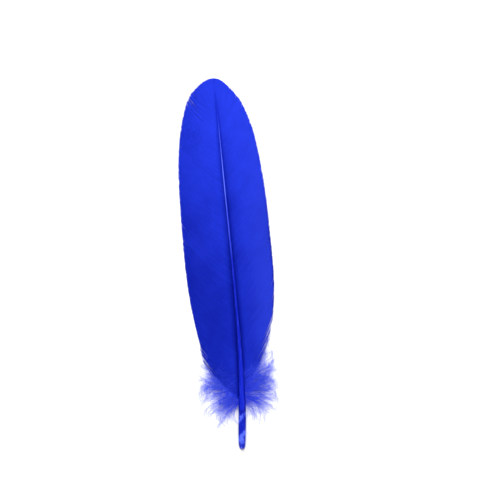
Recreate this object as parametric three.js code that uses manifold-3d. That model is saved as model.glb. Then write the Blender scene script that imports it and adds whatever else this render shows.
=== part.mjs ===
// A dyed goose wing feather, lying on a table with its upper side up.
// Millimetres, +Z up. +Y runs along the shaft, from the quill's end to the tip. +X is the right vane.
// The quill and the margins of the vane touch the table, and the shaft arches over it between them.
import * as THREE from "three";
import { mergeVertices } from "three/addons/utils/BufferGeometryUtils.js";
import Module from "manifold-3d";

// Driving dimensions of the whole feather.
const LENGTH = 170;
const QUILL_RADIUS = 1.72;
const FLAT_FROM = 5; // the bare quill lies flat on the table over this stretch
const FLAT_TO = 16;
const ARCH_FROM = 18; // where the shaft starts to lift off the table
const ARCH_HEIGHT = 3.5;
const ARCH_EASE = 1.4; // above 1, the arch meets the table gently at both ends

// The shaft's sideways bow, at equal steps from the quill's end to the tip.
const SHAFT_BOW = [0, 1.3, 2.2, 2.45, 2.35, 2.15, 1.85, 1.5, 1.15, 0.75, 0];

// The shaft is turned with this many sides, one of them flat on the table.
const SHAFT_SIDES = 12;
const HALF_SIDE = Math.PI / SHAFT_SIDES;

// The shaft's outline as radius and distance from the quill's end.
const SHAFT_PROFILE = [
  [0, 0],
  [0.85, 0],
  [1.32, 0.6],
  [1.6, 2],
  [QUILL_RADIUS, FLAT_FROM],
  [QUILL_RADIUS, FLAT_TO],
  [1.7, 20],
  [1.52, 25],
  [1.34, 32],
  [1.16, 42],
  [1.02, 56],
  [0.88, 74],
  [0.75, 94],
  [0.62, 116],
  [0.5, 138],
  [0.36, 156],
  [0.2, 167],
  [0, 168],
];

// Each vane: where its lowest barb leaves the shaft, and its margin from that barb's end to the tip.
const VANE_TO = 166.5;
const LEFT_VANE = {
  rootFrom: 21.5,
  marginLine: splineThrough([
    [-14.6, 41],
    [-16.6, 54],
    [-18.7, 69],
    [-19.7, 84],
    [-19.9, 99],
    [-19.9, 113],
    [-19.5, 127],
    [-18.2, 140],
    [-15.9, 151.5],
    [-12.5, 161],
    [-7.6, 166.7],
    [-3.5, 169.2],
    [0, 170],
  ]),
};
const RIGHT_VANE = {
  rootFrom: 26.5,
  marginLine: splineThrough([
    [16.2, 50],
    [19, 61.5],
    [20.5, 74],
    [20.8, 86],
    [20.5, 98],
    [20.2, 110],
    [19.5, 122],
    [18.1, 135],
    [16, 147],
    [12.2, 158],
    [7.5, 164.8],
    [3.6, 168.7],
    [0, 170],
  ]),
};

// A barb leaves the shaft at a wide angle and turns towards the tip.
// Its curve is pulled to a belly at these shares of its reach outwards and upwards.
const BELLY_OUT = 0.72;
const BELLY_UP = 0.52;
const BARB_ADVANCE = 0.25; // how far the middle barbs reach ahead along the margin
const SEAM_FROM = 24; // where the two vanes start along the middle of the shaft

// The vane is a thin sheet that grows from the upper side of the shaft.
// It rises a little beside the shaft, falls towards its margin, and flattens where it meets the table.
const VANE_HALF_THICK = 0.26;
const MARGIN_HALF_THICK = 0.2;
const ROOT_HEIGHT = 0.9; // of the shaft's radius, from the shaft's underside
const HALF_WIDTH = 21;
const SHOULDER_RISE = 0.5;
const SHOULDER_REACH = 3;
const PRESS = 0.7; // how far the margin would sink into the table if it didn't bend
const SOFTNESS = 0.22;
const RIPPLE = 0.22;
const RIPPLE_LENGTH = 54;

// The barbs lie in locks. Each has a rounded back and a short cleft at the margin on either side of it.
const LOCKS = 22;
const STEPS_PER_LOCK = 4;
const STEPS_ACROSS = 6;
const LOCK_RELIEF = 0.2;
const RELIEF_FADE = 4; // the higher this power, the closer to the tip the relief fades out
const CLEFT_DEPTH = 0.04;
const CLEFT_VARIETY = 0.5;
const CLEFT_STRIDE = 7; // radians between neighbouring clefts, so that no two look alike

// Tufts of down grow at the foot of each vane, the first one turned back towards the quill.
const TUFTS = 11;
const TUFT_ROOTS = [22, 32];
const TUFT_HEADINGS = [-0.8, 0.85]; // radians from straight across
const TUFT_REACH = 15;
const REACH_VARIETY = 3;
const REACH_STRIDE = 2.4;
const TUFT_RADIUS = 0.95;
const TUFT_TAPER = 0.45; // the tuft's thickness at its ends as a share of that at its middle
const TUFT_FLATNESS = 0.6;
const TUFT_BOW = 2.5;
const TUFT_WAVE = 0.7;
const TUFT_RINGS = 8;
const TUFT_SIDES = 6;

const DYED_BLUE = 0x2338d6;
const SHARED_CORNER = 1e-4; // corners closer than this are one

const wasm = await Module();
wasm.setup();

function splineThrough(points) {
  return new THREE.SplineCurve(points.map(([x, y]) => new THREE.Vector2(x, y)));
}

// A smooth curve through values set at equal steps over the shaft's length.
function alongShaft(values, y) {
  const place = THREE.MathUtils.clamp(y / LENGTH, 0, 1) * (values.length - 1);
  const i = Math.min(Math.floor(place), values.length - 2);
  const t = place - i;
  const before = values[Math.max(i - 1, 0)];
  const after = values[Math.min(i + 2, values.length - 1)];
  const slopeIn = (values[i + 1] - before) / 2;
  const slopeOut = (after - values[i]) / 2;
  const cubic = 2 * values[i] - 2 * values[i + 1] + slopeIn + slopeOut;
  const square = 3 * values[i + 1] - 3 * values[i] - 2 * slopeIn - slopeOut;
  return ((cubic * t + square) * t + slopeIn) * t + values[i];
}

function shaftRadius(y) {
  const next = SHAFT_PROFILE.findIndex((p) => p[1] > y);
  if (next < 1) return 0;
  const [r0, y0] = SHAFT_PROFILE[next - 1];
  const [r1, y1] = SHAFT_PROFILE[next];
  return THREE.MathUtils.mapLinear(y, y0, y1, r0, r1);
}

// Height of the shaft's underside over the table.
function shaftLift(y) {
  const s = THREE.MathUtils.clamp((y - ARCH_FROM) / (LENGTH - ARCH_FROM), 0, 1);
  return ARCH_HEIGHT * Math.sin(Math.PI * s) ** ARCH_EASE;
}

// Height of the shaft's axis over the table. The quill's rounded end keeps the height of its flat stretch.
function axisHeight(y) {
  return shaftLift(y) + shaftRadius(Math.max(y, FLAT_FROM)) * Math.cos(HALF_SIDE);
}

// Height of the middle of the vane's thickness at any point in plan.
function vaneHeight(x, y) {
  const out = Math.abs(x - alongShaft(SHAFT_BOW, y));
  const root = shaftLift(y) + Math.max(ROOT_HEIGHT * shaftRadius(y), VANE_HALF_THICK);
  const shoulder = SHOULDER_RISE * (1 - Math.exp(-out / SHOULDER_REACH));
  const fall = root + SHOULDER_RISE + PRESS;
  const ripple = RIPPLE * Math.sin((2 * Math.PI * y) / RIPPLE_LENGTH + Math.sign(x));
  const free = root + shoulder + (ripple - fall) * (out / HALF_WIDTH) ** 2;
  const over = free - MARGIN_HALF_THICK;
  return MARGIN_HALF_THICK + SOFTNESS * Math.log1p(Math.exp(over / SOFTNESS));
}

// The plan of the barb that leaves the shaft at share v of the vane, at share u of its length.
function barbPoint(vane, u, v) {
  const rootFrom = u > 0 ? vane.rootFrom : SEAM_FROM;
  const rootY = THREE.MathUtils.lerp(rootFrom, VANE_TO, v);
  const root = new THREE.Vector2(alongShaft(SHAFT_BOW, rootY), rootY);
  const end = vane.marginLine.getPointAt(v + BARB_ADVANCE * v * (1 - v));
  const belly = new THREE.Vector2(
    THREE.MathUtils.lerp(root.x, end.x, BELLY_OUT),
    THREE.MathUtils.lerp(root.y, end.y, BELLY_UP),
  );
  return new THREE.QuadraticBezierCurve(root, belly, end).getPoint(u);
}

// A closed geometry becomes a solid once its corners are shared.
function solidOf(geometry) {
  geometry.deleteAttribute("normal");
  geometry.deleteAttribute("uv");
  const merged = mergeVertices(geometry, SHARED_CORNER);
  const vertProperties = merged.attributes.position.array;
  const triVerts = new Uint32Array(merged.index.array);
  return new wasm.Manifold(new wasm.Mesh({ numProp: 3, vertProperties, triVerts }));
}

// Moves every corner of a geometry to where place puts it.
function reshape(geometry, place) {
  const positions = geometry.attributes.position;
  const p = new THREE.Vector3();
  for (let i = 0; i < positions.count; i++) {
    p.fromBufferAttribute(positions, i);
    place(p);
    positions.setXYZ(i, p.x, p.y, p.z);
  }
  return geometry;
}

// The quill and the rachis, turned round the Y axis and then bent to the shaft's line.
function makeShaft() {
  const outline = SHAFT_PROFILE.map(([r, y]) => new THREE.Vector2(r, y));
  const shaft = new THREE.LatheGeometry(outline, SHAFT_SIDES, HALF_SIDE);
  reshape(shaft, (p) => {
    p.x += alongShaft(SHAFT_BOW, p.y);
    p.z += axisHeight(p.y);
  });
  return solidOf(shaft);
}

// Both vanes in one sheet: a block whose corners are moved onto the barbs of the left and the right vane.
function makeVanes() {
  const rows = LOCKS * STEPS_PER_LOCK;
  const sheet = new THREE.BoxGeometry(2, 1, 1, 2 * STEPS_ACROSS, rows, 1);
  // The last row folds shut along the tip's middle line, so the faces on its end are left out.
  const corners = sheet.attributes.position;
  const faces = [];
  for (let i = 0; i < sheet.index.count; i += 3) {
    const face = [sheet.index.getX(i), sheet.index.getX(i + 1), sheet.index.getX(i + 2)];
    if (face.some((corner) => corners.getY(corner) < 0.5)) faces.push(...face);
  }
  sheet.setIndex(faces);
  reshape(sheet, (p) => {
    const vane = p.x < 0 ? LEFT_VANE : RIGHT_VANE;
    const across = Math.abs(p.x);
    const row = Math.round((p.y + 0.5) * rows);
    const v = row / rows;
    const fromMiddle = Math.abs((2 * (row % STEPS_PER_LOCK)) / STEPS_PER_LOCK - 1);
    const variety = 1 + CLEFT_VARIETY * Math.sin(CLEFT_STRIDE * Math.round(v * LOCKS));
    const cleft = CLEFT_DEPTH * variety * fromMiddle ** 2;
    const plan = barbPoint(vane, across * (1 - cleft), v);
    const relief = LOCK_RELIEF * across * (1 - fromMiddle ** 2) * (1 - v ** RELIEF_FADE);
    const thick = THREE.MathUtils.lerp(VANE_HALF_THICK, MARGIN_HALF_THICK, across);
    const off = p.z > 0 ? thick + relief : -thick;
    p.set(plan.x, plan.y, vaneHeight(plan.x, plan.y) + off);
  });
  return solidOf(sheet);
}

// One tuft of down: a wavy spindle that reaches outwards from the shaft and comes down to the table.
function makeTuft(side, k) {
  const share = k / (TUFTS - 1);
  const rootY = THREE.MathUtils.lerp(...TUFT_ROOTS, share);
  const heading = THREE.MathUtils.lerp(...TUFT_HEADINGS, share);
  const reach = TUFT_REACH + REACH_VARIETY * Math.sin(REACH_STRIDE * k + side);
  const root = new THREE.Vector3(alongShaft(SHAFT_BOW, rootY), rootY, axisHeight(rootY));
  const end = new THREE.Vector3(
    root.x + side * reach * Math.cos(heading),
    root.y + reach * Math.sin(heading),
    TUFT_RADIUS * TUFT_FLATNESS,
  );
  const belly = root.clone().lerp(end, 0.5);
  belly.y += TUFT_BOW;
  const path = new THREE.QuadraticBezierCurve3(root, belly, end);

  const outline = [new THREE.Vector2(0, 0)];
  for (let i = 1; i < TUFT_RINGS; i++) {
    const t = i / TUFT_RINGS;
    const swell = THREE.MathUtils.lerp(TUFT_TAPER, 1, Math.sin(Math.PI * t));
    outline.push(new THREE.Vector2(TUFT_RADIUS * swell, t));
  }
  outline.push(new THREE.Vector2(0, 1));

  const spindle = new THREE.LatheGeometry(outline, TUFT_SIDES);
  reshape(spindle, (p) => {
    const on = path.getPoint(p.y);
    const along = path.getTangent(p.y);
    const flat = new THREE.Vector3(along.y, -along.x, 0).normalize();
    const up = new THREE.Vector3().crossVectors(flat, along);
    const wave = TUFT_WAVE * p.y * Math.sin(2 * Math.PI * p.y + k);
    p.copy(on.addScaledVector(flat, p.x + wave).addScaledVector(up, TUFT_FLATNESS * p.z));
  });
  return solidOf(spindle);
}

function makeFeather() {
  let feather = makeShaft().add(makeVanes());
  for (const side of [-1, 1]) {
    for (let k = 0; k < TUFTS; k++) feather = feather.add(makeTuft(side, k));
  }
  const { vertProperties, triVerts } = feather.getMesh();
  const geometry = new THREE.BufferGeometry();
  geometry.setAttribute("position", new THREE.BufferAttribute(vertProperties, 3));
  geometry.setIndex(new THREE.BufferAttribute(triVerts, 1));
  geometry.computeVertexNormals();
  return geometry;
}

const dyedFeather = new THREE.MeshStandardMaterial({
  color: DYED_BLUE,
  roughness: 0.7,
  metalness: 0,
});
const feather = new THREE.Mesh(makeFeather(), dyedFeather);
feather.name = "feather";

// The origin is at the middle of the feather's footprint on the table.
feather.geometry.computeBoundingBox();
const middle = feather.geometry.boundingBox.getCenter(new THREE.Vector3());
feather.position.set(-middle.x, -middle.y, -feather.geometry.boundingBox.min.z);

const part = new THREE.Group();
part.add(feather);
export default part;
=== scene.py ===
# A dyed goose wing feather on a white table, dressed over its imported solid.
# The shapes are worked out in millimetres from the quill's end, with +Y towards the tip and +Z up.
# placed() then puts them in the row's frame, in metres.
import math

import bmesh
import bpy
import numpy as np
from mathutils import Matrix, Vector


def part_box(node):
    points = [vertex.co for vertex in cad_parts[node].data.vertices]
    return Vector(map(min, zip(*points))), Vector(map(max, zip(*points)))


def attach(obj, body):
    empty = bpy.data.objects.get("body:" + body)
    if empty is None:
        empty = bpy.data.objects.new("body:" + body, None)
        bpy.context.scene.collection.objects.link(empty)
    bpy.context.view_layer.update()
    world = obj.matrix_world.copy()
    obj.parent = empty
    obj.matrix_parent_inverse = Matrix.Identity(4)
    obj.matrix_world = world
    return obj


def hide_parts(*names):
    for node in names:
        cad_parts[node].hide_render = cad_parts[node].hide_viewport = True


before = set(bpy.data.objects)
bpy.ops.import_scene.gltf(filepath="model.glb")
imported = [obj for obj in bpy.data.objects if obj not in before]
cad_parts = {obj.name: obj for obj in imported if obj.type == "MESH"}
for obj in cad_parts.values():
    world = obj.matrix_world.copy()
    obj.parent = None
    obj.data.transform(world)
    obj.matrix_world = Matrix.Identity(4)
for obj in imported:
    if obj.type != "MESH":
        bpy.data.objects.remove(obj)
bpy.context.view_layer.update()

MM = 0.001

# Driving dimensions of the feather, as on the solid, except for a rounder quill's end and a slimmer rachis.
# An outline's points are (radius, place along the feather).
LENGTH = 170
QUILL_RADIUS = 1.72
FLAT_FROM = 5
FLAT_TO = 16
ARCH_FROM = 18
ARCH_HEIGHT = 3.5
ARCH_EASE = 1.4
SHAFT_BOW = [0, 1.3, 2.2, 2.45, 2.35, 2.15, 1.85, 1.5, 1.15, 0.75, 0]
HALF_SIDE = math.pi / 12
SHAFT_PROFILE = [
    (1.65, FLAT_FROM), (QUILL_RADIUS, 9), (QUILL_RADIUS, FLAT_TO), (1.7, 20), (1.52, 25),
    (1.34, 32), (1.16, 42), (1.02, 56), (0.88, 74), (0.75, 94),
    (0.62, 116), (0.5, 138), (0.36, 156), (0.2, 167), (0, 168),
]
SHAFT_TIP = [(0.2, 167), (0.13, 169), (0, 169.7)]  # the shaft runs out in a hair
RACHIS_SLIMNESS = ([30, 70, 110, 160], [1, 0.8, 0.72, 0.78])  # its width for its height, at places along it
CREST_LEAN = ([30, 60, 75, 110], [0, -0.3, -0.2, 0.45])  # how far round to the left its painted highlight and the painted shade on its flanks lie, likewise
QUILL_END = [
    (0, 0.5), (0.2, 0.42), (0.36, 0.1), (0.52, 0), (0.78, 0.13), (1.05, 0.5), (1.33, 1.2), (1.53, 2.6),
]
RACHIS_FROM = 30
RACHIS_TO = 166
GROOVE_FROM = 24
GROOVE_RUN = 14
GROOVE_DEPTH = 0.3
GROOVE_ANGLE = 0.42

VANE_TO = 166.5
LEFT_VANE = {
    "side": -1,
    "root_from": 21.5,
    "margin": [
        (-14.6, 41), (-16.6, 54), (-18.7, 69), (-19.7, 84), (-19.9, 99), (-19.9, 113),
        (-19.5, 127), (-18.2, 140), (-15.9, 151.5), (-12.5, 161), (-7.6, 166.7), (-3.5, 169.2), (0, 170),
    ],
    "worn": (0.8, 0.95),
    "down_headings": (-0.62, 0.6),
    "seed": 2,
}
RIGHT_VANE = {
    "side": 1,
    "root_from": 26.5,
    "margin": [
        (16.2, 50), (19, 61.5), (20.5, 74), (20.8, 86), (20.5, 98), (20.2, 110),
        (19.5, 122), (18.1, 135), (16, 147), (12.2, 158), (7.5, 164.8), (3.6, 168.7), (0, 170),
    ],
    "worn": (0.02, 0.08),
    "down_headings": (-0.62, 0.88),
    "seed": 5,
}
BELLY = (0.72, 0.52)
BARB_ADVANCE = 0.25
VANE_HALF_THICK = 0.26
MARGIN_HALF_THICK = 0.2
ROOT_HEIGHT = 0.9
HALF_WIDTH = 21
SHOULDER_RISE = 0.5
SHOULDER_REACH = 3
PRESS = 0.7
SOFTNESS = 0.22
RIPPLE = 0.22
RIPPLE_LENGTH = 54
LOCKS = 22

# How finely the meshes are divided.
SHAFT_SIDES = 28
QUILL_END_RINGS = 25
QUILL_RINGS = 21
RACHIS_RINGS = 120
MARGIN_STEPS = 600
SHEET_COLUMNS = 31
SHEET_ROWS = 181
BARB_STATIONS = 14
DOWN_POINTS = 26

# The barbs, which are finer than the solid. Places along a barb are shares of the vane's width there.
BARBS = 420
BARB_SECTION = [(-1, 0), (0, 1), (1, 0), (0, -0.8)]
BARB_ROOT = 0.012
BARB_LENGTH = 0.985
BARB_TAPERS = 0.95
SHEET_BRINK = 0.0005

# The down. Angles are in radians up from straight out to the side.
DOWN_RIBS = 150
DOWN_ROOTS = (22, 33)
ROOT_SCATTER = 0.5
HEADING_SCATTER = 0.18
LONGEST_HEADING = 0.15
DOWN_REACH = 29
SHORTEST_RIB = 0.44
STEEP_RIB = 0.53  # how much of its length a rib keeps that sets out across the longest ones
DOWN_SPREAD = (14, 19)  # how far out a rib keeps its line, and the widest that it gets
DOWN_CURL = (-0.01, 0.04)  # the mean and the scatter of its turn from point to point
DOWN_WAVE = (0.15, 0.75)  # this and the pairs after it are a smallest and a largest value
DOWN_TURNS = (5, 16)
DOWN_LOFT = (0.2, 3)
DOWN_REST = (0.2, 1.2)
RIBS_OVER_VANE = 0.4
VANE_CLEARANCE = 0.35
UNDER_VANE_RUN = 2
VANE_EDGE_STEPS = 40
BARBULE_RADIUS = 0.009  # for its length
FRINGE_BARBS = 16
FRINGE_PLACE = (0.2, 0.85)
FRINGE_HEIGHT = (0, 0.05)
FRINGE_DROOP = (0.05, 0.5)
FRINGE_LIFT = (-0.1, 0.35)
FRINGE_REACH = (4, 9)
FRINGE_REST = (0.2, 0.9)
LOWEST_FULLNESS = 0.72  # how thickly barbules grow on the lowest rib
FULL_FROM = 0.45  # the share of the way up the ribs from which they are full
FRINGE_FULLNESS = 0.3
SOFT_LANDING = 0.08 * MM  # what sinks lower than this over the table is pressed together on it
BARB_MAP = "OFBake"  # the map that runs along each barb, for its pattern and for a bake of it

# Where the feather lies in the picture, and the height over the table at which its scale is exact.
FRAME_PIXELS = (499, 500)
QUILL_PIXEL = (242.3, 449.8)
TIP_PIXEL = (213, 77.4)
SCALE_HEIGHT = 2
LENS = 85
SENSOR = 36

# The studio, in metres and watts.
TABLE_HALF = 2
WINDOW = {"place": (-0.1, 0.7, 0.8), "size": 0.7, "power": 11}
FILL = {"place": (0.5, -0.3, 0.9), "size": 0.9, "power": 3.5}
SKY_STRENGTH = 0.75

low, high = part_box("feather")
corners = np.array([v.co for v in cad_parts["feather"].data.vertices])
end_face = corners[corners[:, 1] < low.y + 0.1 * MM]
quill_x = (end_face[:, 0].min() + end_face[:, 0].max()) / 2


def placed(points):
    """Points in millimetres from the quill's end, as metres in the row's frame."""
    return np.asarray(points, float) * MM + (quill_x, low.y, 0)


def lerp(a, b, t):
    return a + (b - a) * t


def through(values, place):
    """A smooth curve through values that are set at places 0, 1, 2 and so on."""
    values = np.asarray(values, float)
    last = len(values) - 1
    i = np.clip(np.floor(place).astype(int), 0, last - 1)
    t = place - i
    if values.ndim > 1:
        t = t[..., None]
    here, there = values[i], values[i + 1]
    slope_in = (there - values[np.maximum(i - 1, 0)]) / 2
    slope_out = (values[np.minimum(i + 2, last)] - here) / 2
    cubic = 2 * here - 2 * there + slope_in + slope_out
    square = 3 * there - 3 * here - 2 * slope_in - slope_out
    return ((cubic * t + square) * t + slope_in) * t + here


def shaft_bow(y):
    place = np.clip(np.asarray(y) / LENGTH, 0, 1) * (len(SHAFT_BOW) - 1)
    return through(SHAFT_BOW, place)


def shaft_radius(y):
    radii, stations = zip(*SHAFT_PROFILE)
    return np.interp(y, stations, radii)


def shaft_lift(y):
    s = np.clip((y - ARCH_FROM) / (LENGTH - ARCH_FROM), 0, 1)
    return ARCH_HEIGHT * np.sin(math.pi * s) ** ARCH_EASE


def axis_height(y):
    return shaft_lift(y) + shaft_radius(np.maximum(y, FLAT_FROM)) * math.cos(HALF_SIDE)


def vane_height(x, y):
    """Height of the middle of the vane at a point in plan, as on the solid."""
    out = np.abs(x - shaft_bow(y))
    root = shaft_lift(y) + np.maximum(ROOT_HEIGHT * shaft_radius(y), VANE_HALF_THICK)
    shoulder = SHOULDER_RISE * (1 - np.exp(-out / SHOULDER_REACH))
    fall = root + SHOULDER_RISE + PRESS
    ripple = RIPPLE * np.sin(2 * math.pi * y / RIPPLE_LENGTH + np.sign(x))
    free = root + shoulder + (ripple - fall) * (out / HALF_WIDTH) ** 2
    over = free - MARGIN_HALF_THICK
    return MARGIN_HALF_THICK + SOFTNESS * np.log1p(np.exp(over / SOFTNESS))


def margin_at(vane, share):
    """Points at shares of the margin's length."""
    dense = through(vane["margin"], np.linspace(0, len(vane["margin"]) - 1, MARGIN_STEPS))
    run = np.concatenate([[0], np.cumsum(np.linalg.norm(np.diff(dense, axis=0), axis=1))])
    at = np.asarray(share) * run[-1]
    return np.stack([np.interp(at, run, dense[:, k]) for k in (0, 1)], axis=-1)


def barb_plan(vane, u, v):
    """The plan of the barb at share v of the vane, at share u of its length."""
    root_y = lerp(vane["root_from"], VANE_TO, v)
    root = np.stack([shaft_bow(root_y), root_y], axis=-1)
    end = margin_at(vane, v + BARB_ADVANCE * v * (1 - v))
    belly = root + (end - root) * BELLY
    u = u[..., None]
    return (1 - u) ** 2 * root + 2 * u * (1 - u) * belly + u**2 * end


def on_vane(vane, u, v):
    plan = barb_plan(vane, u, v)
    return np.dstack([plan, vane_height(plan[..., 0], plan[..., 1])])


def new_mesh(name, points, faces):
    mesh = bpy.data.meshes.new(name)
    mesh.from_pydata([tuple(p) for p in points], [], [tuple(f) for f in faces])
    mesh.polygons.foreach_set("use_smooth", [True] * len(mesh.polygons))
    return mesh


def new_object(name, data):
    made = bpy.data.objects.new(name, data)
    bpy.context.scene.collection.objects.link(made)
    return made


def set_attribute(mesh, name, values):
    attribute = mesh.attributes.new(name, "FLOAT", "POINT")
    attribute.data.foreach_set("value", np.asarray(values, np.float32))


def grid_faces(rows, columns, around=False):
    """The four-sided faces of a grid of points, row after row, joined round if its columns close."""
    across = columns if around else columns - 1
    i, j = np.meshgrid(np.arange(rows - 1), np.arange(across), indexing="ij")
    after = (j + 1) % columns
    row, next_row = i * columns, (i + 1) * columns
    return np.stack([row + j, row + after, next_row + after, next_row + j], axis=-1).reshape(-1, 4)


class Graph:
    """Adds nodes to a node tree. A value is a number, a colour, a name or another node's output."""

    def __init__(self, tree):
        self.tree = tree

    def feed(self, socket, value):
        if isinstance(value, bpy.types.NodeSocket):
            self.tree.links.new(value, socket)
        else:
            socket.default_value = value

    def add(self, kind, settings=None, **values):
        node = self.tree.nodes.new(kind)
        for name, value in (settings or {}).items():
            setattr(node, name, value)
        for name, value in values.items():
            self.feed(node.inputs[name.replace("_", " ")], value)
        return node

    def numbered(self, kind, settings, values, output=0):
        """A node whose inputs go by number, because several have the same name."""
        node = self.add(kind, settings)
        for number, value in values.items():
            self.feed(node.inputs[number], value)
        return node.outputs[output]

    def math(self, operation, *values):
        return self.numbered("ShaderNodeMath", {"operation": operation}, dict(enumerate(values)))

    def vector(self, operation, *values):
        return self.numbered("ShaderNodeVectorMath", {"operation": operation}, dict(enumerate(values)))

    def scaled(self, vector, by):
        return self.numbered("ShaderNodeVectorMath", {"operation": "SCALE"}, {0: vector, 3: by})

    def mix(self, factor, a, b):
        return self.numbered("ShaderNodeMix", {"data_type": "FLOAT"}, {0: factor, 2: a, 3: b})

    def blend(self, factor, a, b, how="MIX"):
        settings = {"data_type": "RGBA", "blend_type": how}
        return self.numbered("ShaderNodeMix", settings, {0: factor, 6: a, 7: b}, output=2)

    def ramp(self, value, start, end, low=0.0, high=1.0, smooth=True):
        """low before start, high after end, and a rise between them."""
        settings = {"interpolation_type": "SMOOTHSTEP" if smooth else "LINEAR"}
        return self.numbered("ShaderNodeMapRange", settings, {0: value, 1: start, 2: end, 3: low, 4: high})

    def stops(self, value, full, stops):
        """A value that goes through the given (place, value) stops, for places from 0 to full."""
        ramp = self.add("ShaderNodeValToRGB", Fac=self.math("DIVIDE", value, full))
        elements = ramp.color_ramp.elements
        elements[0].position = stops[0][0] / full
        elements[1].position = stops[-1][0] / full
        for place, _ in stops[1:-1]:
            elements.new(place / full)
        for element, (_, level) in zip(elements, stops):
            element.color = (level, level, level, 1)
        return ramp.outputs[0]

    def over_table(self, height, soft):
        """A height as it is over soft, and pressed together below soft, so that it stays over 0."""
        below = self.math("MINIMUM", self.math("DIVIDE", height, soft), 1.0)
        pressed = self.math("EXPONENT", self.math("SUBTRACT", below, 1.0))
        rest = self.math("MAXIMUM", self.math("SUBTRACT", height, soft), 0.0)
        return self.math("MULTIPLY_ADD", pressed, soft, rest)

    def join(self, x, y, z=0.0):
        return self.numbered("ShaderNodeCombineXYZ", {}, {0: x, 1: y, 2: z})

    def split(self, vector):
        return self.add("ShaderNodeSeparateXYZ", Vector=vector).outputs

    def noise(self, vector, scale, detail=2.0, roughness=0.5):
        values = {"Vector": vector, "Scale": scale, "Detail": detail, "Roughness": roughness}
        return self.add("ShaderNodeTexNoise", **values).outputs["Fac"]

    def random(self, number, seed, smallest=0.0, largest=1.0):
        """A random value for each whole number."""
        values = {2: smallest, 3: largest, 7: number, 8: seed}
        return self.numbered("FunctionNodeRandomValue", {"data_type": "FLOAT"}, values, output=1)

    def attribute(self, name, kind="FLOAT"):
        return self.add("GeometryNodeInputNamedAttribute", {"data_type": kind}, Name=name).outputs[0]

    def store(self, geometry, name, value, kind="FLOAT", domain="POINT"):
        settings = {"data_type": kind, "domain": domain}
        values = {"Geometry": geometry, "Name": name, "Value": value}
        return self.add("GeometryNodeStoreNamedAttribute", settings, **values).outputs[0]

    def turned(self, rotation, by):
        """A rotation turned further round its own axes."""
        settings = {"rotation_space": "LOCAL"}
        values = {"Rotation": rotation, "Rotate_By": by}
        return self.add("FunctionNodeRotateRotation", settings, **values).outputs[0]

    def by_angles(self, x=0.0, y=0.0, z=0.0):
        return self.add("FunctionNodeEulerToRotation", Euler=self.join(x, y, z)).outputs[0]

    def capture(self, geometry, **fields):
        """The geometry and the fields as they are on it now."""
        node = self.add("GeometryNodeCaptureAttribute", Geometry=geometry)
        for name, field in fields.items():
            node.capture_items.new("FLOAT", name)
            self.feed(node.inputs[name], field)
        return node.outputs


def geometry_tree(name, **sockets):
    """A geometry node tree with named inputs, as its graph and the outputs of its Group Input."""
    tree = bpy.data.node_groups.new(name, "GeometryNodeTree")
    tree.interface.new_socket("Geometry", in_out="OUTPUT", socket_type="NodeSocketGeometry")
    tree.interface.new_socket("Geometry", in_out="INPUT", socket_type="NodeSocketGeometry")
    for label, kind in sockets.items():
        tree.interface.new_socket(label.replace("_", " "), in_out="INPUT", socket_type="NodeSocket" + kind)
    graph = Graph(tree)
    return graph, graph.add("NodeGroupInput").outputs


def finish_tree(graph, geometry, material):
    """Ends a tree with real mesh that wears its material."""
    realized = graph.add("GeometryNodeRealizeInstances", Geometry=geometry).outputs[0]
    dressed = graph.add("GeometryNodeSetMaterial", Geometry=realized, Material=material).outputs[0]
    graph.add("NodeGroupOutput", Geometry=dressed)


def grown(name, start, tree, values):
    """The plain mesh that a geometry tree makes from a starting mesh."""
    source = new_object(name + "_source", start)
    modifier = source.modifiers.new("grow", "NODES")
    modifier.node_group = tree
    for item in tree.interface.items_tree:
        if item.in_out == "INPUT" and item.name in values:
            modifier[item.identifier] = values[item.name]
    evaluated = source.evaluated_get(bpy.context.evaluated_depsgraph_get())
    result = bpy.data.meshes.new_from_object(evaluated)
    source.modifiers.remove(modifier)
    bpy.data.objects.remove(source)
    result.name = name
    return new_object(name, result)


# Finishes.


def shader_group(name, inputs, outputs):
    """A shader node group with named inputs and outputs, as its graph, its inputs and its output node."""
    tree = bpy.data.node_groups.new(name, "ShaderNodeTree")
    for label, kind in inputs.items():
        tree.interface.new_socket(label, in_out="INPUT", socket_type="NodeSocket" + kind)
    for label, kind in outputs.items():
        tree.interface.new_socket(label, in_out="OUTPUT", socket_type="NodeSocket" + kind)
    graph = Graph(tree)
    return graph, graph.add("NodeGroupInput").outputs, graph.add("NodeGroupOutput")


def dye_group():
    """Dyed keratin. Depth runs from -1, darkest, as the dye's own dark marks and as painted shade, over 0,
    deep, to 1, bright.
    """
    inputs = {"Deep": "Color", "Bright": "Color", "Pale": "Color", "Depth": "Float", "Paleness": "Float"}
    inputs |= {"Streak": "Float", "Streakiness": "Float", "Cloud": "Float", "Cloud Size": "Float"}
    graph, given, made = shader_group("dye", inputs, {"Color": "Color"})
    place = graph.add("ShaderNodeTexCoord").outputs["Object"]
    scale = graph.math("DIVIDE", 1.0, given["Cloud Size"])
    cloud = graph.math("SUBTRACT", graph.noise(place, scale, 3.0), 0.5)
    streak = graph.math("SUBTRACT", given["Streak"], 0.5)
    depth = graph.math("MULTIPLY_ADD", cloud, given["Cloud"], given["Depth"])
    body = graph.blend(graph.ramp(depth, 0.0, 1.0, smooth=False), given["Deep"], given["Bright"])
    through_blue = graph.ramp(depth, -1.0, 0.0, 0.5, 1.0, smooth=False)
    through_green = graph.math("MULTIPLY", through_blue, through_blue)
    through_red = graph.math("MULTIPLY", through_blue, through_green)
    lightness = graph.math("MULTIPLY_ADD", streak, given["Streakiness"], 1.0)
    filtered = graph.scaled(graph.join(through_red, through_green, through_blue), lightness)
    shaded = graph.blend(1.0, body, filtered, "MULTIPLY")
    pale = graph.ramp(graph.math("MULTIPLY_ADD", streak, 0.3, given["Paleness"]), 0.0, 1.0, smooth=False)
    graph.feed(made.inputs["Color"], graph.blend(pale, shaded, given["Pale"]))
    return graph.tree


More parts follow.
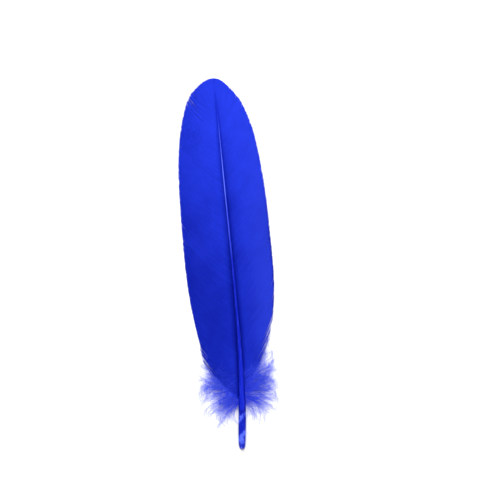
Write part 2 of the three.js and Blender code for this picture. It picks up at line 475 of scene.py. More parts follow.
def streak_group():
    """Streaks that run along a fibre, and a finer grain. Place's X runs along the fibre."""
    outputs = {"Streak": "Float", "Grain": "Float"}
    graph, given, made = shader_group("streaks", {"Place": "Vector"}, outputs)
    broad = graph.noise(given["Place"], 1.0, 3.0, 0.6)
    finer = graph.vector("MULTIPLY", given["Place"], (7.0, 4.0, 4.0))
    graph.feed(made.inputs["Streak"], graph.ramp(broad, 0.25, 0.75, smooth=False))
    graph.feed(made.inputs["Grain"], graph.noise(finer, 1.0, 2.0, 0.6))
    return graph.tree


DYE = dye_group()
STREAKS = streak_group()


def new_material(name, **settings):
    """A material with a Principled shader, as its graph, the shader and the material."""
    material = bpy.data.materials.new(name)
    material.use_nodes = True
    graph = Graph(material.node_tree)
    shader = material.node_tree.nodes["Principled BSDF"]
    for label, value in settings.items():
        shader.inputs[label.replace("_", " ")].default_value = value
    return graph, shader, material


def placed_group(graph, group, **values):
    return graph.add("ShaderNodeGroup", {"node_tree": group}, **values).outputs


def own(graph, name):
    """A number that the piece's mesh carries."""
    return graph.add("ShaderNodeAttribute", {"attribute_name": name}).outputs["Fac"]


# Tones by place, as (place, level). On the vane a place is the share of the way up it.
VANE_BLUE = [(0, 0.1), (0.2, 0.08), (0.32, 0.13), (0.5, 0.4), (0.75, 0.78), (0.95, 0.99)]
# Where the right margin gets its painted shade, by share up the vane.
MARGIN_PAINTED_SHADE = [(0.03, 0), (0.1, 1), (0.3, 1), (0.5, 0.1)]

# On the shaft a place is in millimetres from the quill's end.
PITH_TO = 20
PITH = [
    (0, 0.52), (1.5, 0.56), (3, 0.44), (4.8, 0.57), (7, 0.62), (8, 0.5),
    (8.8, 0.36), (12.8, 0.35), (14, 0.54), (15, 0.53), (16.6, 0.47),
]
PITH_SLANT = -1.5
BRIM_AT = 18.3
BRIM_BOW = -1.4
SHAFT_BLUE = [(0, 0.34), (40, 0.3), (60, 0.1), (86, 0.15), (110, 0.6), (150, 1)]
# Where the crest gets its painted highlight, and how strong it is.
CREST_PAINTED_GLEAM = [
    (84, 0), (96, 0.3), (109, 0.42), (117, 0.8), (127, 1), (133, 0.7), (139, 0.35), (146, 0.3), (151, 0),
]


def vane_finish():
    graph, shader, material = new_material("dyed_barbs", Specular_IOR_Level=0.06)
    barb = graph.split(graph.add("ShaderNodeUVMap", {"uv_map": BARB_MAP}).outputs[0])
    out, up = barb[0], barb[1]
    place = graph.join(graph.math("MULTIPLY", out, 5.0), graph.math("MULTIPLY", up, 150.0))
    streaks = placed_group(graph, STREAKS, Place=place)
    streak = graph.mix(0.35, streaks["Streak"], own(graph, "tone"))
    side = graph.split(graph.add("ShaderNodeTexCoord").outputs["Object"])[0]

    # The blue brightens up the vane, partly its own dye and partly painted light. Painted light makes it
    # lighter to the right, and painted shade makes it deeper in the dip beside the shaft and over the inner
    # part of the right vane higher up.
    by_height = graph.stops(up, 1.0, VANE_BLUE)
    painted_light_by_side = graph.ramp(side, -18 * MM, 18 * MM, -0.13, 0.18)
    groove = graph.ramp(out, 0.02, 0.13, 1.0, 0.0)
    painted_shade_by_shaft = graph.math("MULTIPLY", groove, graph.ramp(up, 0.0, 0.5, -0.9, -0.25))
    painted_shade_hollow = graph.math("MULTIPLY", graph.ramp(out, 0.03, 0.34, 1.0, 0.0), graph.ramp(side, 0.0, 3 * MM))
    painted_shade_hollow = graph.math("MULTIPLY", painted_shade_hollow, graph.ramp(up, 0.25, 0.55, 0.0, -0.36))

    # Short dark flecks lie between the barbs, most of them where the left vane is worn.
    fleck_place = graph.join(graph.math("MULTIPLY", out, 24.0), graph.math("MULTIPLY", up, 230.0))
    flecks = graph.ramp(graph.noise(fleck_place, 1.0, 2.0, 0.6), 0.48, 0.66, 0.0, -0.8)
    worn_up = graph.math("MULTIPLY", graph.ramp(up, 0.66, 0.8), graph.ramp(up, 0.93, 0.98, 1.0, 0.0))
    worn = graph.math("MULTIPLY", worn_up, graph.ramp(side, -15 * MM, -5 * MM, 1.0, 0.0))
    flecks = graph.math("MULTIPLY", flecks, graph.math("MULTIPLY_ADD", worn, 0.85, 0.15))
    depth = graph.math("ADD", by_height, graph.math("ADD", painted_shade_by_shaft, painted_light_by_side))
    depth = graph.math("ADD", depth, graph.math("ADD", painted_shade_hollow, flecks))

    # The right margin turns down at the feather's widest, and painted shade makes it darker there.
    turned = graph.math("MULTIPLY", graph.ramp(out, 0.87, 0.96), graph.ramp(side, 10 * MM, 15 * MM))
    turned = graph.math("MULTIPLY", turned, graph.stops(up, 1.0, MARGIN_PAINTED_SHADE))
    depth = graph.math("MULTIPLY_ADD", turned, -0.6, depth)

    # The very edge is thin and pale, partly from its paler barb ends and partly as painted light shining
    # through it, more so on the right. Painted light makes the outer part of the right vane a little paler.
    edge_by_side = graph.ramp(side, -18 * MM, 15 * MM, 0.45, 0.8)
    edge = graph.math("MULTIPLY", graph.ramp(out, 0.94, 0.975), edge_by_side)
    edge = graph.math("MULTIPLY", edge, graph.ramp(streak, 0.3, 0.6, 0.5, 1.0))
    edge = graph.math("MULTIPLY", edge, graph.ramp(up, 0.2, 0.6, 0.4, 1.0))
    painted_light_up = graph.ramp(up, 0.1, 0.9, 0.38, 0.15)
    painted_light_right = graph.math("MULTIPLY", graph.ramp(side, 4 * MM, 17 * MM), painted_light_up)
    painted_light_right = graph.math("MULTIPLY", painted_light_right, graph.math("SUBTRACT", 1.0, turned))
    dye = placed_group(
        graph,
        DYE,
        Deep=(0.0029, 0.013, 0.365, 1),
        Bright=(0.0122, 0.034, 0.625, 1),
        Pale=(0.0275, 0.055, 0.63, 1),
        Depth=depth,
        Paleness=painted_light_right,
        Streak=streak,
        Streakiness=0.24,
        Cloud=0.8,
        Cloud_Size=0.013,
    )
    graph.feed(shader.inputs["Base Color"], graph.blend(edge, dye["Color"], (0.05, 0.08, 0.66, 1)))
    graph.feed(shader.inputs["Roughness"], graph.ramp(streak, 0.0, 1.0, 0.5, 0.66))
    bump = graph.add("ShaderNodeBump", Strength=0.25, Distance=0.03 * MM, Height=streaks["Grain"])
    graph.feed(shader.inputs["Normal"], bump.outputs[0])
    return material


def quill_finish():
    graph, shader, material = new_material("dyed_quill", Specular_IOR_Level=0.04, Coat_Weight=0.01)
    shader.inputs["Coat Roughness"].default_value = 0.25
    along, crest = own(graph, "along"), own(graph, "crest")
    coordinates = graph.add("ShaderNodeTexCoord").outputs["Object"]
    streaks = placed_group(graph, STREAKS, Place=graph.vector("MULTIPLY", coordinates, (2500, 130, 2500)))
    blots = graph.noise(graph.vector("MULTIPLY", coordinates, (850, 420, 850)), 1.0, 3.0, 0.62)

    # Pith dried in slanting patches in the bare quill.
    slanted = graph.math("MULTIPLY_ADD", own(graph, "across"), PITH_SLANT, along)
    share = graph.stops(slanted, PITH_TO, PITH)
    patches = graph.ramp(graph.math("ADD", blots, share), 0.92, 1.17)
    over_brim = graph.math("SUBTRACT", along, graph.math("MULTIPLY_ADD", crest, BRIM_BOW, BRIM_AT))
    pith = graph.math("MULTIPLY", patches, graph.ramp(over_brim, -0.4, 0.1, 0.72, 0.0))

    # A dark rounded brim where the deep blue shaft begins, and a deeper tone all over the bare quill.
    brim_start = graph.ramp(over_brim, -0.3, 0.3, 0.0, -0.7)
    brim_end = graph.ramp(over_brim, 0.5, 2.2, 1.0, 0.1)
    brim = graph.math("MULTIPLY", brim_start, brim_end)
    bare_shade = graph.ramp(along, 17.0, 18.0, -0.35, 0.0)

    # The flanks are darker than the crest as painted shade, and the crest has a painted highlight in the
    # upper half.
    flanks = graph.ramp(crest, 0.3, 0.95, 1.0, 0.0)
    shade = graph.math("MULTIPLY", flanks, graph.ramp(along, 60.0, 120.0, -1.1, -0.8))
    shade = graph.math("MULTIPLY", shade, graph.ramp(along, 15.0, 18.0, 0.4, 1.0))
    bright = graph.math("SUBTRACT", graph.stops(along, LENGTH, SHAFT_BLUE), 0.2)
    painted_gleam = graph.math("MULTIPLY", graph.ramp(crest, 0.78, 0.98), graph.stops(along, LENGTH, CREST_PAINTED_GLEAM))
    depth = graph.math("ADD", graph.math("ADD", bright, brim), graph.math("ADD", shade, bare_shade))
    dye = placed_group(
        graph,
        DYE,
        Deep=(0.0025, 0.0112, 0.42, 1),
        Bright=(0.011, 0.031, 0.6, 1),
        Pale=(0.115, 0.175, 0.9, 1),
        Depth=depth,
        Paleness=graph.math("ADD", pith, painted_gleam),
        Streak=streaks["Streak"],
        Streakiness=0.22,
        Cloud=0.22,
        Cloud_Size=0.006,
    )

    # The quill's very end is dry and greyish.
    rim = graph.ramp(along, 0.25, 1.3, 0.85, 0.0)
    graph.feed(shader.inputs["Base Color"], graph.blend(rim, dye["Color"], (0.17, 0.13, 0.24, 1)))
    graph.feed(shader.inputs["Roughness"], graph.ramp(blots, 0.3, 0.7, 0.32, 0.46))
    bump = graph.add("ShaderNodeBump", Strength=0.3, Distance=0.05 * MM, Height=streaks["Grain"])
    graph.feed(shader.inputs["Normal"], bump.outputs[0])
    return material


def down_finish():
    graph, shader, material = new_material("dyed_down", Specular_IOR_Level=0.06)
    share, reach = own(graph, "share"), own(graph, "reach")
    place = graph.join(graph.math("MULTIPLY", share, 9.0), graph.math("MULTIPLY", reach, 3.0))
    streaks = placed_group(graph, STREAKS, Place=place)
    dye = placed_group(
        graph,
        DYE,
        Deep=(0.017, 0.037, 0.97, 1),
        Bright=(0.045, 0.09, 1, 1),
        Pale=(0.18, 0.25, 1, 1),
        Depth=graph.ramp(share, 0.0, 0.5, 0.3, 1.0),
        Paleness=graph.math("MULTIPLY_ADD", reach, 0.3, graph.ramp(share, 0.2, 1.0, 0.0, 0.5)),
        Streak=streaks["Streak"],
        Streakiness=0.25,
        Cloud=0.25,
        Cloud_Size=0.004,
    )
    graph.feed(shader.inputs["Base Color"], dye["Color"])
    graph.feed(shader.inputs["Roughness"], graph.ramp(streaks["Grain"], 0.2, 0.8, 0.6, 0.8))
    return material


def table_finish():
    graph, shader, material = new_material("white_table", Specular_IOR_Level=0.1)
    place = graph.add("ShaderNodeTexCoord").outputs["Object"]
    cloud = graph.noise(place, 3.0)
    white = graph.blend(cloud, (0.86, 0.86, 0.87, 1), (0.88, 0.88, 0.88, 1))
    graph.feed(shader.inputs["Base Color"], white)
    graph.feed(shader.inputs["Roughness"], graph.ramp(cloud, 0.0, 1.0, 0.75, 0.85))
    return material


# The shaft.


def make_shaft(material):
    """The quill and the rachis: a tube bent to the shaft's line, with a groove under the rachis."""
    end_steps = np.linspace(0, len(QUILL_END), QUILL_END_RINGS, endpoint=False)
    end = through(QUILL_END + SHAFT_PROFILE, end_steps)
    quill_y = np.linspace(FLAT_FROM, RACHIS_FROM, QUILL_RINGS, endpoint=False)
    rachis_y = np.linspace(RACHIS_FROM, RACHIS_TO, RACHIS_RINGS)
    far_y = np.concatenate([quill_y, rachis_y])
    stations = np.concatenate([end, np.stack([shaft_radius(far_y), far_y], axis=-1), SHAFT_TIP])
    r, y = stations[:, :1], stations[:, 1:]
    angle = np.linspace(0, 2 * math.pi, SHAFT_SIDES, endpoint=False)[None, :]
    from_below = (angle - math.pi / 2) % (2 * math.pi) - math.pi
    groove = np.clip((y - GROOVE_FROM) / GROOVE_RUN, 0, 1) * np.exp(-((from_below / GROOVE_ANGLE) ** 2))
    narrowed = 1 - GROOVE_DEPTH * groove
    slim = np.interp(y, *RACHIS_SLIMNESS)
    x = shaft_bow(y) + r * np.cos(angle) * slim * narrowed
    axis = np.maximum(axis_height(y), r * math.cos(HALF_SIDE))
    z = axis + r * np.sin(angle) * math.cos(HALF_SIDE) * narrowed
    points = np.dstack([x, np.broadcast_to(y, x.shape), z]).reshape(-1, 3)
    mesh = new_mesh("shaft", placed(points), grid_faces(len(stations), SHAFT_SIDES, around=True))
    crest = np.sin(angle - np.interp(y, *CREST_LEAN))
    for name, values in {"along": y, "crest": crest, "across": np.cos(angle)}.items():
        set_attribute(mesh, name, np.broadcast_to(values, x.shape).ravel())
    close_up(mesh)
    mesh.materials.append(material)
    return new_object("shaft", mesh)


def close_up(mesh):
    """Merges the points of poles and turns all faces outwards."""
    work = bmesh.new()
    work.from_mesh(mesh)
    bmesh.ops.remove_doubles(work, verts=work.verts, dist=0.001 * MM)
    bmesh.ops.recalc_face_normals(work, faces=work.faces)
    work.to_mesh(mesh)
    work.free()


# The vanes.


def barb_template(side):
    """One barb, lying straight from 0 to 1: its place along, across and above the vane's sheet."""
    along = np.concatenate([np.linspace(0, BARB_TAPERS, BARB_STATIONS - 2), [0.98, 1.0]])
    taper = 1 - 0.9 * np.clip((along - BARB_TAPERS) / (1 - BARB_TAPERS), 0, 1) ** 2
    section = np.array(BARB_SECTION)
    rows = [[(a, across * t, height * t) for across, height in section] for a, t in zip(along, taper)]
    faces = [list(f) for f in grid_faces(len(along), len(section), around=True)]
    first = list(range(len(section)))
    last = [(len(along) - 1) * len(section) + k for k in first]
    faces += [first[::-1], last]
    if side > 0:
        faces = [f[::-1] for f in faces]
    return new_mesh("barb", np.array(rows).reshape(-1, 3), faces)


def vane_sheet(vane):
    """A smooth sheet over one vane, with a map that runs along the barbs and up the vane."""
    u, v = np.meshgrid(np.linspace(0, 1, SHEET_COLUMNS), np.linspace(0, 1, SHEET_ROWS))
    faces = grid_faces(SHEET_ROWS, SHEET_COLUMNS)
    if vane["side"] < 0:
        faces = faces[:, ::-1]
    mesh = new_mesh("sheet", placed(on_vane(vane, u, v).reshape(-1, 3)), faces)
    layer = mesh.uv_layers.new(name="UVMap")
    at = np.zeros(len(mesh.loops), int)
    mesh.loops.foreach_get("vertex_index", at)
    uv = np.stack([u.ravel()[at], v.ravel()[at]], axis=-1)
    layer.uv.foreach_set("vector", uv.astype(np.float32).ravel())
    return new_object("sheet", mesh)


def barb_tree():
    """Lays barbs side by side on a sheet. Each is a copy of the incoming barb, bent onto the sheet."""
    graph, given = geometry_tree(
        "lay_barbs",
        Sheet="Object", Barbs="Int", Locks="Int", Overlap="Float", Ridge="Float", Tilt="Float",
        Unevenness="Float", Relief="Float", Cleft="Float", Fray="Float", Stray="Float",
        Loose_Foot="Float", Worn_From="Float", Worn_To="Float", Seed="Int", Finish="Material",
    )
    math_, random = graph.math, graph.random
    seed = given["Seed"]
    rows = graph.add("GeometryNodeMeshLine", Count=given["Barbs"], Offset=(0, 0, 0)).outputs[0]
    rows = graph.capture(rows, row=graph.add("GeometryNodeInputIndex").outputs[0])
    copies = graph.add("GeometryNodeInstanceOnPoints", Points=rows["Geometry"], Instance=given["Geometry"])
    barbs = graph.add("GeometryNodeRealizeInstances", Geometry=copies.outputs[0]).outputs[0]
    row = rows["row"]
    template = graph.split(graph.add("GeometryNodeInputPosition").outputs[0])
    here = graph.capture(barbs, along=template[0], across=template[1], height=template[2])
    along, across, height = here["along"], here["across"], here["height"]

    # Where the barb leaves the shaft, the lock that it lies in, and how loosely it is held.
    up = math_("DIVIDE", math_("ADD", row, 0.5), given["Barbs"])
    lock = math_("FLOOR", math_("MULTIPLY", up, given["Locks"]))
    centre = math_("DIVIDE", math_("ADD", lock, 0.5), given["Locks"])
    foot = graph.ramp(up, 0.0, given["Loose Foot"], 1.0, 0.0)
    worn_in = graph.ramp(up, given["Worn From"], math_("ADD", given["Worn From"], 0.05))
    worn_out = graph.ramp(up, math_("SUBTRACT", given["Worn To"], 0.05), given["Worn To"], 1.0, 0.0)
    worn = math_("MULTIPLY", worn_in, worn_out)
    loose = math_("ADD", foot, math_("MULTIPLY", worn, 0.5))
    short = math_("MULTIPLY", random(row, seed), random(row, math_("ADD", seed, 20)))
    frayed = math_("MULTIPLY_ADD", foot, 3.0, given["Fray"])
    shorter = math_("MULTIPLY", frayed, math_("MULTIPLY", short, given["Fray"]))
    shorter = math_("ADD", shorter, math_("MULTIPLY", math_("POWER", random(row, 1), 4.0), given["Fray"]))
    out = math_("MULTIPLY_ADD", along, math_("SUBTRACT", BARB_LENGTH, shorter), BARB_ROOT)

    # Barbs of a lock draw together towards the margin, some locks more than others.
    parted = math_("POWER", random(lock, math_("ADD", seed, 40)), 6.0)
    drawn = math_("MULTIPLY", given["Cleft"], math_("MULTIPLY_ADD", loose, 0.15, parted))
    pull = math_("MULTIPLY", drawn, math_("POWER", out, 4.0))
    gathered = math_("MULTIPLY_ADD", math_("SUBTRACT", centre, up), pull, up)
    half = math_("DIVIDE", math_("MULTIPLY_ADD", given["Overlap"], 0.5, 0.5), given["Barbs"])
    level = math_("MULTIPLY_ADD", across, half, gathered)
    level = math_("MINIMUM", math_("MAXIMUM", level, SHEET_BRINK), 1 - SHEET_BRINK)

    # The point on the sheet, and how far the barb's skin stands off it.
    sheet = graph.add("GeometryNodeObjectInfo", Object=given["Sheet"]).outputs["Geometry"]
    uv = graph.join(out, level)
    source = graph.attribute("UVMap", "FLOAT_VECTOR")

    def sampled(value):
        settings = {"data_type": "FLOAT_VECTOR"}
        values = {"Mesh": sheet, "UV_Map": source, "Sample_UV": uv, "Value": value}
        return graph.add("GeometryNodeSampleUVSurface", settings, **values).outputs[0]

    point = sampled(graph.add("GeometryNodeInputPosition").outputs[0])
    normal = sampled(graph.add("GeometryNodeInputNormal").outputs[0])
    in_lock = math_("MULTIPLY_ADD", math_("FRACT", math_("MULTIPLY", level, given["Locks"])), 2.0, -1.0)
    rounded = math_("MULTIPLY_ADD", math_("MULTIPLY", in_lock, in_lock), -1.0, 1.0)
    bulge = math_("MULTIPLY", rounded, given["Relief"])
    relief = math_("MULTIPLY", bulge, math_("MULTIPLY", out, random(lock, 3)))
    lift = math_("MULTIPLY", math_("SUBTRACT", random(row, 4), 0.5), given["Unevenness"])
    skin = math_("MULTIPLY", height, given["Ridge"])
    tilt = math_("MULTIPLY", across, given["Tilt"])
    off = math_("ADD", math_("ADD", skin, tilt), math_("ADD", lift, relief))
    laid = graph.vector("ADD", point, graph.scaled(normal, off))

    # Loose barbs stray from their places.
    bundle = graph.join(math_("MULTIPLY", out, 2.5), math_("MULTIPLY", row, 0.32), seed)
    noise = graph.add("ShaderNodeTexNoise", Vector=bundle, Scale=1.0, Detail=1.0).outputs["Color"]
    swing = graph.vector("SUBTRACT", noise, (0.5, 0.5, 0.44))
    freedom = math_("MULTIPLY", math_("MULTIPLY_ADD", loose, 0.94, 0.06), math_("POWER", out, 1.6))
    stray = graph.scaled(swing, math_("MULTIPLY", freedom, given["Stray"]))
    strayed = graph.split(graph.vector("ADD", laid, graph.vector("MULTIPLY", stray, (1.0, 1.0, 0.35))))
    strayed = graph.join(strayed[0], strayed[1], graph.over_table(strayed[2], SOFT_LANDING))
    moved = graph.add("GeometryNodeSetPosition", Geometry=here["Geometry"], Position=strayed).outputs[0]

    tone = graph.mix(0.35, random(row, 5), random(lock, 6))
    toned = graph.store(moved, "tone", tone)
    band = math_("DIVIDE", math_("ADD", row, math_("MULTIPLY_ADD", across, 0.46, 0.5)), given["Barbs"])
    mapped = graph.store(toned, BARB_MAP, graph.join(out, band), "FLOAT2", "CORNER")
    finish_tree(graph, mapped, given["Finish"])
    return graph.tree


def make_vane(vane, name, tree, material):
    sheet = vane_sheet(vane)
    values = {
        "Sheet": sheet,
        "Barbs": BARBS,
        "Locks": LOCKS,
        "Overlap": 0.35,
        "Ridge": 0.034 * MM,
        "Tilt": 0.028 * MM,
        "Unevenness": 0.012 * MM,
        "Relief": 0.16 * MM,
        "Cleft": 0.07,
        "Fray": 0.03,
        "Stray": 2.6 * MM,
        "Loose Foot": 0.1,
        "Worn From": vane["worn"][0],
        "Worn To": vane["worn"][1],
        "Seed": vane["seed"],
        "Finish": material,
    }
    made = grown(name, barb_template(vane["side"]), tree, values)
    bpy.data.objects.remove(sheet)
    return made


# The down.


def barbule_template():
    """One barbule of length 1 along Z: a three-sided hair, slightly bent."""
    stations = [(0, 0, 1), (0.5, 0.12, 0.8)]
    points = []
    for height, bend, size in stations:
        for k in range(3):
            angle = 2 * math.pi * k / 3
            radius = size * BARBULE_RADIUS
            points.append((radius * math.cos(angle), radius * math.sin(angle) + bend, height))
    points.append((0, 0.4, 0.95))
    faces = [(2, 1, 0)]
    for k in range(3):
        after = (k + 1) % 3
        faces.append((k, after, after + 3, k + 3))
        faces.append((k + 3, after + 3, 6))
    mesh = new_mesh("barbule", points, faces)
    set_attribute(mesh, "reach", [0, 0, 0, 0.5, 0.5, 0.5, 1])
    return new_object("barbule", mesh)


def kept_in(x):
    """Holds the ends of the longest ribs back, so that the down is no wider than the vanes."""
    free, widest = DOWN_SPREAD
    room = widest - free
    return x if x < free else free + room * (1 - math.exp((free - x) / room))


def wander_line(start, heading, reach, side, chance, heights):
    """A wavy line from a point in plan. heights(t) gives its height at share t of its length."""
    curl = chance.normal(*DOWN_CURL)
    wave = chance.uniform(*DOWN_WAVE)
    turns = chance.uniform(*DOWN_TURNS)
    phase = chance.uniform(0, 2 * math.pi)
    step = reach / (DOWN_POINTS - 1)
    x, y = start
    line = []
    for i in range(DOWN_POINTS):
        t = i / (DOWN_POINTS - 1)
        line.append((side * kept_in(side * x), y, heights(t)))
        turned = heading + curl * i + wave * math.sin(phase + turns * t) * t
        x += side * math.cos(turned) * step
        y += math.sin(turned) * step
    return line


def beneath(vane, x, y, z):
    """The height of a point, brought down to pass under the vane if the vane is over it."""
    lowest = barb_plan(vane, np.linspace(0, 1, VANE_EDGE_STEPS), np.zeros(VANE_EDGE_STEPS))
    order = np.argsort(lowest[:, 0])
    edge = np.interp(x, lowest[order, 0], lowest[order, 1])
    cover = min(max((y - edge) / UNDER_VANE_RUN, 0), 1)
    ceiling = float(vane_height(x, y)) - VANE_CLEARANCE
    return lerp(z, max(min(z, ceiling), 0), cover)


def down_ribs(vane, chance):
    """Lines for the ribs of the down on one side: they fan out from the shaft and sink to the table."""
    side = vane["side"]
    lines = []
    for k in range(DOWN_RIBS):
        share = k / (DOWN_RIBS - 1)
        root_y = lerp(*DOWN_ROOTS, share) + chance.normal(0, ROOT_SCATTER)
        heading = lerp(*vane["down_headings"], share) + chance.normal(0, HEADING_SCATTER)
        straightness = math.cos(heading - LONGEST_HEADING) ** 2
        reach = DOWN_REACH * chance.uniform(SHORTEST_RIB, 1) * lerp(STEEP_RIB, 1, straightness)
        root_z = float(axis_height(root_y))
        loft = chance.uniform(*DOWN_LOFT)
        rest = chance.uniform(*DOWN_REST)

        def heights(t):
            return root_z * (1 - t) ** 2 + loft * math.sin(math.pi * t) * (1 - t) + rest * t

        start = (float(shaft_bow(root_y)), root_y)
        line = wander_line(start, heading, reach, side, chance, heights)
        over = side > 0 and chance.random() < RIBS_OVER_VANE
        lines.append(line if over else [(x, y, beneath(vane, x, y, z)) for x, y, z in line])
    return lines


def fringe_lines(vane, chance):
    """Lines for the loose barbs that have come away from the vane's lower margin."""
    lines = []
    for _ in range(FRINGE_BARBS):
        u = np.array([0.0, 0.06]) + chance.uniform(*FRINGE_PLACE)
        v = chance.uniform(*FRINGE_HEIGHT)
        (x0, y0), (x1, y1) = barb_plan(vane, u, np.full(2, v))
        heading = math.atan2(y1 - y0, vane["side"] * (x1 - x0)) - chance.uniform(*FRINGE_DROOP)
        root_z = float(vane_height(x0, y0)) + chance.uniform(*FRINGE_LIFT)
        rest = chance.uniform(*FRINGE_REST)
        reach = chance.uniform(*FRINGE_REACH)

        def heights(t):
            return lerp(root_z, rest, t)

        lines.append(wander_line((x0, y0), heading, reach, vane["side"], chance, heights))
    return lines


def line_mesh(ribs, fringe):
    """The lines as chains of edges. full is how thickly barbules grow on them."""
    points = placed(np.array(ribs + fringe).reshape(-1, 3))
    starts = range(0, len(points), DOWN_POINTS)
    edges = [(i, i + 1) for start in starts for i in range(start, start + DOWN_POINTS - 1)]
    mesh = bpy.data.meshes.new("lines")
    mesh.from_pydata([tuple(p) for p in points], edges, [])
    on_ribs = np.interp(np.arange(len(ribs)), [0, FULL_FROM * len(ribs)], [LOWEST_FULLNESS, 1])
    on_fringe = [FRINGE_FULLNESS] * len(fringe)
    set_attribute(mesh, "full", np.repeat([*on_ribs, *on_fringe], DOWN_POINTS))
    return mesh


def down_tree():
    """Grows ribs along lines, and barbules all along the ribs."""
    graph, given = geometry_tree(
        "grow_down",
        Barbule="Object", Rib="Float", Spacing="Float", Length="Float", Splay="Float",
        Thinning="Float", Flatness="Float", Ceiling="Float", Finish="Material",
    )
    math_, random = graph.math, graph.random
    curves = graph.add("GeometryNodeMeshToCurve", Mesh=given["Geometry"]).outputs[0]
    share = graph.add("GeometryNodeSplineParameter").outputs["Factor"]
    strand = graph.add("GeometryNodeCurveOfPoint").outputs["Curve Index"]
    held = graph.capture(curves, share=share, strand=strand, full=graph.attribute("full"))
    share, strand, full = held["share"], held["strand"], held["full"]

    circle = graph.add("GeometryNodeCurvePrimitiveCircle", Resolution=3, Radius=1.0).outputs[0]
    width = math_("MULTIPLY", given["Rib"], graph.ramp(share, 0.0, 1.0, 1.0, 0.25))
    thick = {"Curve": held["Geometry"], "Profile_Curve": circle, "Scale": width, "Fill_Caps": True}
    ribs = graph.add("GeometryNodeCurveToMesh", **thick)
    ribs = graph.store(ribs.outputs[0], "reach", 0.0)

    spaced = {"Curve": held["Geometry"], "Length": given["Spacing"]}
    points = graph.add("GeometryNodeCurveToPoints", {"mode": "LENGTH"}, **spaced)
    rib_place = graph.split(graph.add("GeometryNodeInputPosition").outputs[0])
    along_ribs = graph.capture(points.outputs["Points"], rib_height=rib_place[2])
    number = graph.add("GeometryNodeInputIndex").outputs[0]
    tangent = points.outputs["Tangent"]
    aligned = graph.add("FunctionNodeAlignRotationToVector", {"axis": "Z"}, Vector=tangent).outputs[0]
    spin = random(number, 1, 0.0, 2 * math.pi)
    lean = math_("MULTIPLY", random(number, 2, 0.45, 1.3), given["Splay"])
    spun = graph.turned(aligned, graph.by_angles(z=spin))
    turned = graph.turned(spun, graph.by_angles(x=lean))
    near_root = graph.ramp(share, 0.0, 0.15, 0.65, 1.0)
    near_end = graph.ramp(share, 0.6, 1.0, 1.0, 0.55)
    longer = math_("MULTIPLY", near_root, near_end)
    size = math_("MULTIPLY", math_("MULTIPLY", given["Length"], longer), random(number, 3, 0.5, 1.0))
    size = math_("MULTIPLY", size, full)
    thinned = math_("MULTIPLY", graph.ramp(share, 0.3, 1.0, 1.0, given["Thinning"]), full)
    kept = math_("LESS_THAN", random(number, 4), thinned)
    hair = graph.add("GeometryNodeObjectInfo", Object=given["Barbule"]).outputs["Geometry"]
    barbules = graph.add(
        "GeometryNodeInstanceOnPoints",
        Points=along_ribs["Geometry"],
        Selection=kept,
        Instance=hair,
        Rotation=turned,
        Scale=graph.join(size, size, size),
    ).outputs[0]
    barbules = graph.add("GeometryNodeRealizeInstances", Geometry=barbules).outputs[0]
    place = graph.split(graph.add("GeometryNodeInputPosition").outputs[0])
    level = graph.mix(given["Flatness"], place[2], along_ribs["rib_height"])
    level = math_("MINIMUM", level, given["Ceiling"])
    flat = graph.join(place[0], place[1], level)
    barbules = graph.add("GeometryNodeSetPosition", Geometry=barbules, Position=flat).outputs[0]

    both = graph.add("GeometryNodeJoinGeometry")
    for made in (barbules, ribs):
        graph.tree.links.new(made, both.inputs[0])
    place = graph.split(graph.add("GeometryNodeInputPosition").outputs[0])
    landed = graph.join(place[0], place[1], graph.over_table(place[2], SOFT_LANDING))
    raised = graph.add("GeometryNodeSetPosition", Geometry=both.outputs[0], Position=landed)
    shared = graph.store(raised.outputs[0], "share", share)
    reach = graph.attribute("reach")
    strand_place = math_("MULTIPLY_ADD", reach, 0.5, math_("ADD", strand, 0.25))
    band = math_("DIVIDE", strand_place, DOWN_RIBS + FRINGE_BARBS)
    along_map = math_("MULTIPLY_ADD", reach, 0.01, share)
    mapped = graph.store(shared, BARB_MAP, graph.join(along_map, band), "FLOAT2", "CORNER")
    finish_tree(graph, mapped, given["Finish"])
    return graph.tree


def make_down(vane, name, tree, material):
    chance = np.random.default_rng(vane["seed"])
    barbule = barbule_template()
    lines = line_mesh(down_ribs(vane, chance), fringe_lines(vane, chance))
    values = {
        "Barbule": barbule,
        "Rib": 0.03 * MM,
        "Spacing": 0.14 * MM,
        "Length": 3.2 * MM,
        "Splay": 1.0,
        "Thinning": 0.35,
        "Flatness": 0.6,
        "Ceiling": 4.6 * MM,
        "Finish": material,
    }
    made = grown(name, lines, tree, values)
    bpy.data.objects.remove(barbule)
    return made


# The picture.


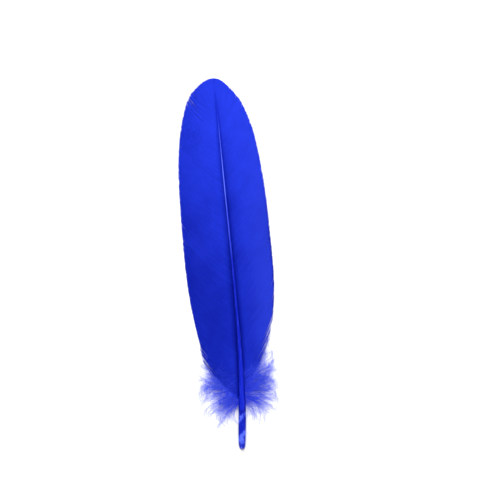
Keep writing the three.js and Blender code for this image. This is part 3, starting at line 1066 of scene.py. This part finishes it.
def make_camera():
    """Straight above the table, so that the feather lies where the picture has it."""
    run = np.subtract(TIP_PIXEL, QUILL_PIXEL)
    pixel = LENGTH / np.linalg.norm(run)
    up = run / np.linalg.norm(run)
    across = np.array([-up[1], up[0]])
    middle = (np.array(FRAME_PIXELS) / 2 - QUILL_PIXEL) * pixel
    data = bpy.data.cameras.new("camera")
    data.lens = LENS
    data.sensor_width = SENSOR
    data.clip_start = 0.01
    distance = max(FRAME_PIXELS) * pixel * LENS / SENSOR
    camera = new_object("camera", data)
    camera.location = placed((middle @ across, middle @ up, distance + SCALE_HEIGHT))
    camera.rotation_euler = (0, 0, -math.atan2(-up[0], -up[1]))
    bpy.context.scene.camera = camera


def make_lamp(name, place, size, power):
    data = bpy.data.lights.new(name, "AREA")
    data.size = size
    data.energy = power
    lamp = new_object(name, data)
    lamp.location = place
    lamp.rotation_euler = (-Vector(place)).to_track_quat("-Z", "Y").to_euler()


def make_studio():
    far = TABLE_HALF
    table_corners = [(-far, -far, 0), (far, -far, 0), (far, far, 0), (-far, far, 0)]
    mesh = new_mesh("table", table_corners, [(0, 1, 2, 3)])
    mesh.materials.append(table_finish())
    new_object("table", mesh)
    make_lamp("window", **WINDOW)
    make_lamp("fill", **FILL)
    world = bpy.data.worlds.new("studio")
    world.use_nodes = True
    sky = world.node_tree.nodes["Background"]
    sky.inputs["Color"].default_value = (1, 1, 1, 1)
    sky.inputs["Strength"].default_value = SKY_STRENGTH
    bpy.context.scene.world = world
    bpy.context.scene.view_settings.view_transform = "Standard"


make_camera()
make_studio()
shaft = make_shaft(quill_finish())
barbs = barb_tree()
vane_blue = vane_finish()
left_vane = make_vane(LEFT_VANE, "vane_left", barbs, vane_blue)
right_vane = make_vane(RIGHT_VANE, "vane_right", barbs, vane_blue)
fluff = down_tree()
down_blue = down_finish()
left_down = make_down(LEFT_VANE, "down_left", fluff, down_blue)
right_down = make_down(RIGHT_VANE, "down_right", fluff, down_blue)

SLOTS = {shaft: "quill", left_vane: "vane", right_vane: "vane", left_down: "down", right_down: "down"}
for piece, slot in SLOTS.items():
    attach(piece, "root")
    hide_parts("feather")
